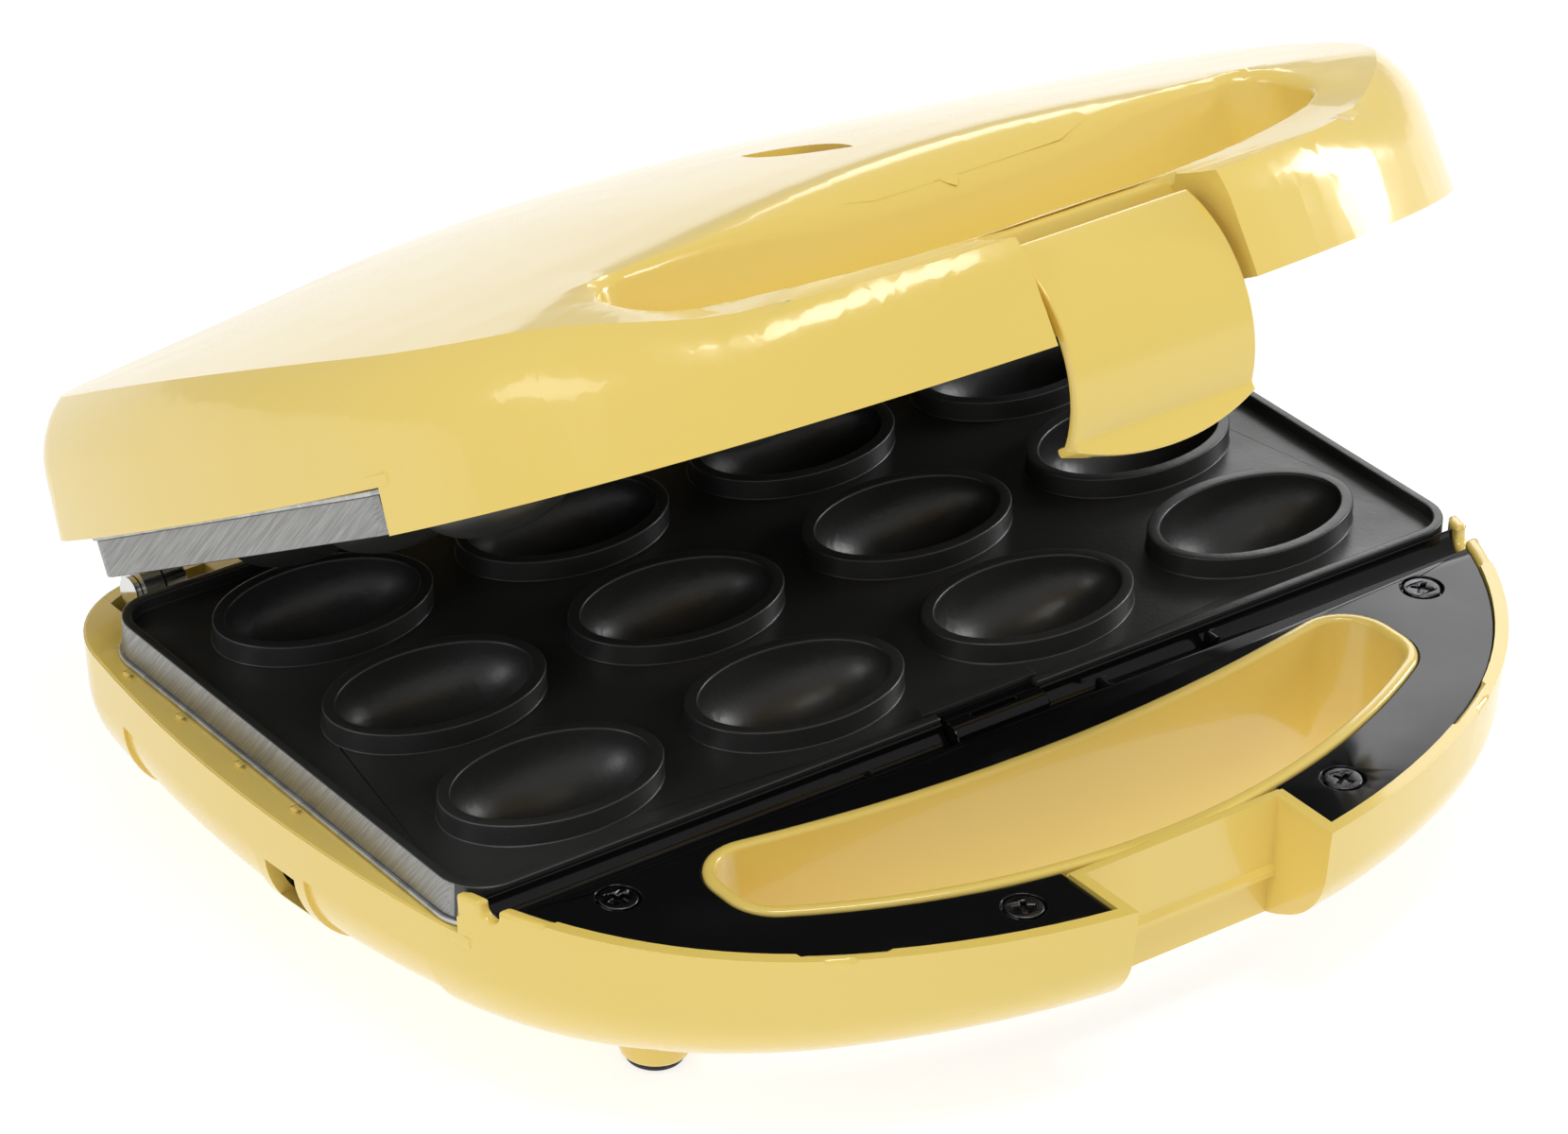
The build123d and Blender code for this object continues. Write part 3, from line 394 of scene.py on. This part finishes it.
# The lid is brought down in front of BEND_Y, in full from BEND_FADE further on. Nothing moves below
# BEND_FLOOR, and all that is above BEND_SHARE of the height from there to the old top moves in full.
BEND_Y, BEND_FADE = -52.0, 15.0
BEND_FLOOR, BEND_SHARE = 5.0, 0.45

# Beside the bar the ramp fades out over ASIDE_WIDTH, and its round against the dome grows up to ROUND_X
ASIDE_X, ASIDE_WIDTH = 68.0, 26.0
ROUND, ROUND_GROWTH, ROUND_X = 1.6, 10.0, 90.0
ABOVE_LID = 60.0

# The belly of the base goes up by LIFT at the front and less towards LIFT_Y and LIFT_TOP
LIFT, LIFT_Y = 2.5, 20.0
LIFT_TOP, LIFT_DEPTH = -6.0, 20.0

# Where the edges are that are rounded: the finger openings, and the posts with the drain spouts
MOUTH_X, MOUTH_FRONT_Y, MOUTH_REAR_Y = 80.5, -116.5, -69.0
LID_MOUTH_SLACK, BASE_MOUTH_Z = 0.8, -1.3
POST_INNER_X, POST_OUTER_X = 106.0, 120.0
POST_FRONT_Y, POST_REAR_Y, POST_Z = -76.0, -52.0, -7.0


class Arc:
    """Arc in the YZ plane that leaves start along a direction and passes through its end."""

    def __init__(self, start, end, direction):
        across = Vector((-direction.y, direction.x))
        run = end - start
        self.reach = run.length_squared / (2.0 * run.dot(across))
        self.side = math.copysign(1.0, self.reach)
        self.centre = start + across * self.reach
        self.end = end
        out = end - self.centre
        self.direction = self.side * Vector((-out.y, out.x)).normalized()

    def height(self, y):
        return self.centre.y - self.side * math.sqrt(self.reach ** 2 - (y - self.centre.x) ** 2)


LEVEL = Vector((1.0, 0.0))
cad_bar = Arc(Vector((FRONT_Y, CAD_BAR_TOP)), Vector((-75.0, 46.0)), LEVEL)
bar = Arc(Vector((FRONT_Y, BAR_TOP)), Vector((-84.1, 27.4)), LEVEL)
ramp = Arc(bar.end, Vector((-80.0, 30.4)), bar.direction)
roll = Arc(ramp.end, Vector((-65.0, 39.2)), ramp.direction)


def dome(x, y):
    """Height of the lid's dome."""
    run = math.sqrt(ACROSS_RADIUS ** 2 - ACROSS_HALF ** 2)
    if abs(x) < ACROSS_HALF:
        drop = ACROSS_RADIUS - math.sqrt(ACROSS_RADIUS ** 2 - x * x)
    else:
        drop = ACROSS_RADIUS - run + ACROSS_HALF / run * (abs(x) - ACROSS_HALF)
    return DOME_TOP - DOME_RADIUS + math.sqrt((DOME_RADIUS - drop) ** 2 - (y - DOME_CREST_Y) ** 2)


def cad_crown(x, y):
    """Height of the solid lid: its dome, cut by the bar at the front."""
    crown = dome(x, y)
    return min(crown, cad_bar.height(max(y, FRONT_Y))) if y < cad_bar.end.x else crown


def bar_height(y):
    """Height of the lower handle bar, the ramp behind it and the roll-over into the dome."""
    if y < bar.end.x:
        return bar.height(max(y, FRONT_Y))
    if y < ramp.end.x:
        return ramp.height(y)
    if y < roll.end.x:
        return roll.height(y)
    return roll.end.y + (y - roll.end.x) * roll.direction.y / roll.direction.x


def side_height(y):
    """Height of the lid's front beside the handle bar, without the ramp. Behind it, only the dome counts."""
    if y > cad_bar.end.x:
        return ABOVE_LID
    forward = min((cad_bar.end.x - y) / (cad_bar.end.x - FRONT_Y), 1.0)
    return cad_bar.height(max(y, FRONT_Y)) - (CAD_BAR_TOP - BAR_TOP) * forward


def smooth_step(value):
    """Rise from 0 to 1, level at both ends."""
    value = min(max(value, 0.0), 1.0)
    return value * value * (3.0 - 2.0 * value)


def soft_least(first, second, blend):
    """The lesser of two heights, with a round of about blend where they meet."""
    near = max(blend - abs(first - second), 0.0) / blend
    return min(first, second) - near * near * blend / 4.0


def lower_bar(work):
    """Bring the front of the lid down to the lower handle bar with a ramp behind it."""
    sliced(work, 1, start=-133.0, step=3.0, count=15)
    sliced(work, 1, start=-90.0, step=1.4, count=29)
    sliced(work, 0, start=-120.0, step=5.0, count=49)
    for vert in work.verts:
        x, y, z = vert.co
        if y > BEND_Y or z < BEND_FLOOR:
            continue
        old = cad_crown(x, y)
        aside = smooth_step((abs(x) - ASIDE_X) / ASIDE_WIDTH)
        front = (1.0 - aside) * bar_height(y) + aside * side_height(y)
        new = soft_least(dome(x, y), front, ROUND + ROUND_GROWTH * min(abs(x) / ROUND_X, 1.0) ** 2)
        part = min((z - BEND_FLOOR) / (BEND_SHARE * (old - BEND_FLOOR)), 1.0)
        vert.co.z = z - max(old - new, 0.0) * part * smooth_step((BEND_Y - y) / BEND_FADE)


def lift_front(work):
    """Draw the belly of the base up a little more towards the front."""
    for vert in work.verts:
        x, y, z = vert.co
        if y < LIFT_Y and z < LIFT_TOP:
            lift = LIFT * ((LIFT_Y - y) / (LIFT_Y - FRONT_Y)) ** 2
            vert.co.z = z + lift * min((LIFT_TOP - z) / LIFT_DEPTH, 1.0) ** 2


def by_mouth(co):
    """Whether a point is in the plan of the finger openings and their rims."""
    return abs(co.x) < MOUTH_X and MOUTH_FRONT_Y < co.y < MOUTH_REAR_Y


def on_lid_mouth(co):
    """Whether a point is on the upper edge of the lid's finger opening."""
    return by_mouth(co) and abs(co.z - cad_crown(co.x, co.y)) < LID_MOUTH_SLACK


def on_base_mouth(co):
    """Whether a point is on the rim of the base's finger opening."""
    return by_mouth(co) and co.z > BASE_MOUTH_Z


def on_post(co):
    """Whether a point is on top of the posts with the drain spouts."""
    return POST_INNER_X < abs(co.x) < POST_OUTER_X and POST_FRONT_Y < co.y < POST_REAR_Y and co.z > POST_Z


work = copied("lid_housing", TO_LID)
rounded(work, on_lid_mouth, 2.0, 4)
lower_bar(work)
piece = finished(work, "lid_shell", TO_LID, "lid", "yellow_plastic", replaces=("lid_housing",))
soften(piece, 0.5, weld=False, clamp=True)

work = copied("base_housing", TO_BASE)
lift_front(work)
rounded(work, on_base_mouth, 0.9, 3)
rounded(work, on_post, 0.8, 3)
piece = finished(work, "base_shell", TO_BASE, "base", "yellow_plastic", replaces=("base_housing",))
soften(piece, 0.5, weld=False, clamp=True)


# CAD nodes that keep their shape and get softer edges

edge_widths = {
    "latch_clip": 0.5,
    "base_front_cover": 0.3,
    "lid_front_cover": 0.3,
    "plate_catch": 0.3,
    "lower_heater_pan": 0.25,
    "upper_heater_pan": 0.25,
}
for name, width in edge_widths.items():
    soften(nodes[name], width)


# Feet: narrow stubs with a pad each

# Each row is its place along y and the height where its stubs end inside the belly
FOOT_XS = (-83.0, 83.0)
FOOT_ROWS = ((-70.6, -31.0), (52.0, -36.0))

# Rings of radius and height, from the bottom up
STUB = ((6.0, -40.4), (6.6, -39.9), (6.9, -38.0))
STUB_TOP_RADIUS = 7.4
PAD = ((5.0, -42.0), (5.5, -41.6), (5.6, -40.5), (5.2, -40.2))

stubs = bmesh.new()
pads = bmesh.new()
for x in FOOT_XS:
    for y, top in FOOT_ROWS:
        turned(stubs, x, y, (*STUB, (STUB_TOP_RADIUS, top)))
        turned(pads, x, y, PAD)
piece = finished(stubs, "foot_stubs", TO_BASE, "base", "yellow_plastic", replaces=("feet",))
soften(piece, 0.3, weld=False)
piece = finished(pads, "pads", TO_BASE, "base", "black_rubber", replaces=("foot_pads",))
soften(piece, 0.3, weld=False)


# Decks between the walls of the housings and the pans, with nubs along the base's sides

# Plan of the housings: the arc of a side, the arc of a rear corner between two angles, and the back
SIDE_X, SIDE_Y, SIDE_RADIUS = -211.7, 9.3, 337.0
CORNER_X, CORNER_Y, CORNER_RADIUS = 97.78, 56.1, 24.0
CORNER_FIRST, CORNER_LAST = 8.6, 64.0
REAR_Y = 80.1

# A deck's face and back are this far from the plane where the lid and the base meet
DECK_FACE, DECK_BACK = 8.76, 11.3
DECK_INSET = 0.8
DECK_OPENING = (228.6, 116.6, 12.4)
HINGE_INNER_X, HINGE_OUTER_X, HINGE_FRONT_Y = 85.0, 107.9, 64.2
NUB = (1.2, 2.6, 0.5)
NUB_X, NUB_YS = 119.6, (49.2, 30.6, 10.3, -8.5)
NUB_TOP, NUB_BOTTOM = -8.1, -9.5


def deck_loop():
    """Outline of a deck from the plates' front edge to the back, open at the hinges, as points."""
    front = -PLATE_WIDTH / 2
    right = []
    for i in range(24):
        y = front + (CORNER_Y - front) * i / 24
        right.append((SIDE_X + math.sqrt((SIDE_RADIUS - DECK_INSET) ** 2 - (y - SIDE_Y) ** 2), y))
    radius = CORNER_RADIUS - DECK_INSET
    for i in range(13):
        angle = math.radians(CORNER_FIRST + (CORNER_LAST - CORNER_FIRST) * i / 12)
        right.append((CORNER_X + radius * math.cos(angle), CORNER_Y + radius * math.sin(angle)))
    right.append((HINGE_OUTER_X, HINGE_FRONT_Y))
    right.append((HINGE_INNER_X, HINGE_FRONT_Y))
    right.append((HINGE_INNER_X, REAR_Y - DECK_INSET))
    return right + [(-x, y) for x, y in reversed(right)]


for name, to_row, body, side in (("base_deck", TO_BASE, "base", -1.0), ("lid_deck", TO_LID, "lid", 1.0)):
    work = bmesh.new()
    slab(work, [deck_loop(), rounded_loop(*DECK_OPENING)], DECK_FACE * side, DECK_BACK * side)
    if body == "base":
        for s in (1, -1):
            for y in NUB_YS:
                slab(work, [rounded_loop(*NUB, (s * NUB_X, y), 3)], NUB_TOP, NUB_BOTTOM)
    soften(finished(work, name, to_row, body, "yellow_plastic"), 0.4, 3, weld=False)


# Yellow walls behind the side vents, and ribs in the drip gutter

VENT_LINER = (1.2, 11.0, 0.4)
VENT_LINER_X, VENT_LINER_Y = 111.6, -8.5
VENT_LINER_TOP, VENT_LINER_BOTTOM = -21.0, -31.0
RIB = (1.8, 3.6, 0.85)
RIB_PLACES = ((-33.1, -68.2), (22.7, -66.7), (50.4, -65.2))
RIB_TOP, RIB_BOTTOM = -1.2, -5.2

work = bmesh.new()
for s in (1, -1):
    place = (s * VENT_LINER_X, VENT_LINER_Y)
    slab(work, [rounded_loop(*VENT_LINER, place, 2)], VENT_LINER_TOP, VENT_LINER_BOTTOM)
soften(finished(work, "vent_liners", TO_BASE, "base", "yellow_plastic"), 0.2, weld=False)

work = bmesh.new()
for place in RIB_PLACES:
    slab(work, [rounded_loop(*RIB, place, 5)], RIB_TOP, RIB_BOTTOM)
soften(finished(work, "gutter_ribs", TO_BASE, "base", "black_plastic"), 0.5, 3, weld=False)


# Screws of the front covers, with cross recesses

# Where each screw is, and how far its cross is turned
SCREWS = ((37.3, -118.4, 0.4), (-37.3, -118.4, 1.1), (94.7, -75.0, 0.7), (-94.7, -75.0, 0.2))
HEAD_RADIUS = 3.6

# A head's face, the floor of its recess and its back are this far from the plane where lid and base meet
HEAD_FACE, HEAD_FLOOR, HEAD_BACK = 1.0, 1.8, 2.2

# Reach and half width of the cross, as shares of the head's radius
CROSS_REACH, CROSS_HALF = 0.58, 0.14


def cross_loop(x, y, turn):
    """Outline of a cross recess, as points."""
    reach, half = CROSS_REACH * HEAD_RADIUS, CROSS_HALF * HEAD_RADIUS
    corners = (
        (reach, half), (half, half), (half, reach),
        (-half, reach), (-half, half), (-reach, half),
        (-reach, -half), (-half, -half), (-half, -reach),
        (half, -reach), (half, -half), (reach, -half),
    )
    cos, sin = math.cos(turn), math.sin(turn)
    return [(x + a * cos - b * sin, y + a * sin + b * cos) for a, b in corners]


for name, replaced, to_row, body, side in (("cover_screws", "base_cover_screws", TO_BASE, "base", -1.0),
                                           ("lid_screws", "lid_cover_screws", TO_LID, "lid", 1.0)):
    work = bmesh.new()
    for x, y, turn in SCREWS:
        around = rounded_loop(2 * HEAD_RADIUS, 2 * HEAD_RADIUS, HEAD_RADIUS, (x, y))
        slab(work, [around, cross_loop(x, y, turn)], HEAD_FACE * side, HEAD_FLOOR * side)
        slab(work, [around], HEAD_FLOOR * side, HEAD_BACK * side)
    piece = finished(work, name, to_row, body, "screw_steel", replaces=(replaced,), smooth=False)
    soften(piece, 0.25)


# Stage, light and camera

WHITE = (1.0, 1.0, 1.0, 1.0)

# Each light's name, place, target, size in metres and power in watts
LIGHTS = (
    ("key", (-0.1, -0.5, 1.7), (0.0, 0.0, 0.05), (0.9, 0.4), 10.0),
    ("left", (-1.6, -0.2, 1.0), (0.0, 0.0, 0.1), (0.8, 0.6), 4.0),
    ("window", (1.3, -0.15, 0.45), (0.05, -0.1, 0.1), (0.35, 0.5), 5.0),
    ("behind", (1.3, 1.2, 0.9), (0.0, 0.0, 0.05), (0.9, 0.5), 4.0),
)


def area_light(name, place, target, size, power):
    light = bpy.data.lights.new(name, "AREA")
    light.shape = "RECTANGLE"
    light.size, light.size_y = size
    light.energy = power
    holder = bpy.data.objects.new(name, light)
    bpy.context.scene.collection.objects.link(holder)
    holder.location = place
    holder.rotation_mode = "QUATERNION"
    holder.rotation_quaternion = (Vector(target) - Vector(place)).to_track_quat("-Z", "Y")


def stage():
    """Faintly glowing pale floor, white surroundings and the lights."""
    reach = 6.0
    corners = [(-reach, -reach, 0), (reach, -reach, 0), (reach, reach, 0), (-reach, reach, 0)]
    mesh = bpy.data.meshes.new("floor")
    mesh.from_pydata(corners, [], [(0, 1, 2, 3)])
    floor = bpy.data.objects.new("floor", mesh)
    bpy.context.scene.collection.objects.link(floor)
    glow = {"Emission_Color": WHITE, "Emission_Strength": 0.80}
    mesh.materials.append(plain("pale_floor", (0.30, 0.30, 0.30), 0.8, grain=6.0, **glow))
    world = bpy.data.worlds.new("studio")
    bpy.context.scene.world = world
    world.use_nodes = True
    background = world.node_tree.nodes["Background"]
    background.inputs["Color"].default_value = WHITE
    background.inputs["Strength"].default_value = 0.5
    for light in LIGHTS:
        area_light(*light)


def camera():
    """The photograph's camera, by its direction and distance from a point near the middle of the plates."""
    azimuth, elevation, tilt = -0.6530129, 0.5321863, 0.0246099
    aim, distance = Vector((-0.0025502, -0.0004745, 0.0)), 1.2844636
    back = Vector((math.sin(azimuth) * math.cos(elevation), -math.cos(azimuth) * math.cos(elevation),
                   math.sin(elevation)))
    level = (-back).cross(Vector((0.0, 0.0, 1.0))).normalized()
    upward = level.cross(-back)
    right = math.cos(tilt) * level + math.sin(tilt) * upward
    upright = math.cos(tilt) * upward - math.sin(tilt) * level
    place = aim + back * distance + STAND
    data = bpy.data.cameras.new("camera")
    data.sensor_width = 36.0
    data.lens = 153.64
    data.clip_start, data.clip_end = 0.05, 30.0
    holder = bpy.data.objects.new("camera", data)
    bpy.context.scene.collection.objects.link(holder)
    holder.matrix_world = Matrix((
        (right.x, upright.x, back.x, place.x),
        (right.y, upright.y, back.y, place.y),
        (right.z, upright.z, back.z, place.z),
        (0.0, 0.0, 0.0, 1.0),
    ))
    bpy.context.scene.camera = holder


stage()
camera()
bpy.context.scene.view_settings.view_transform = "Standard"
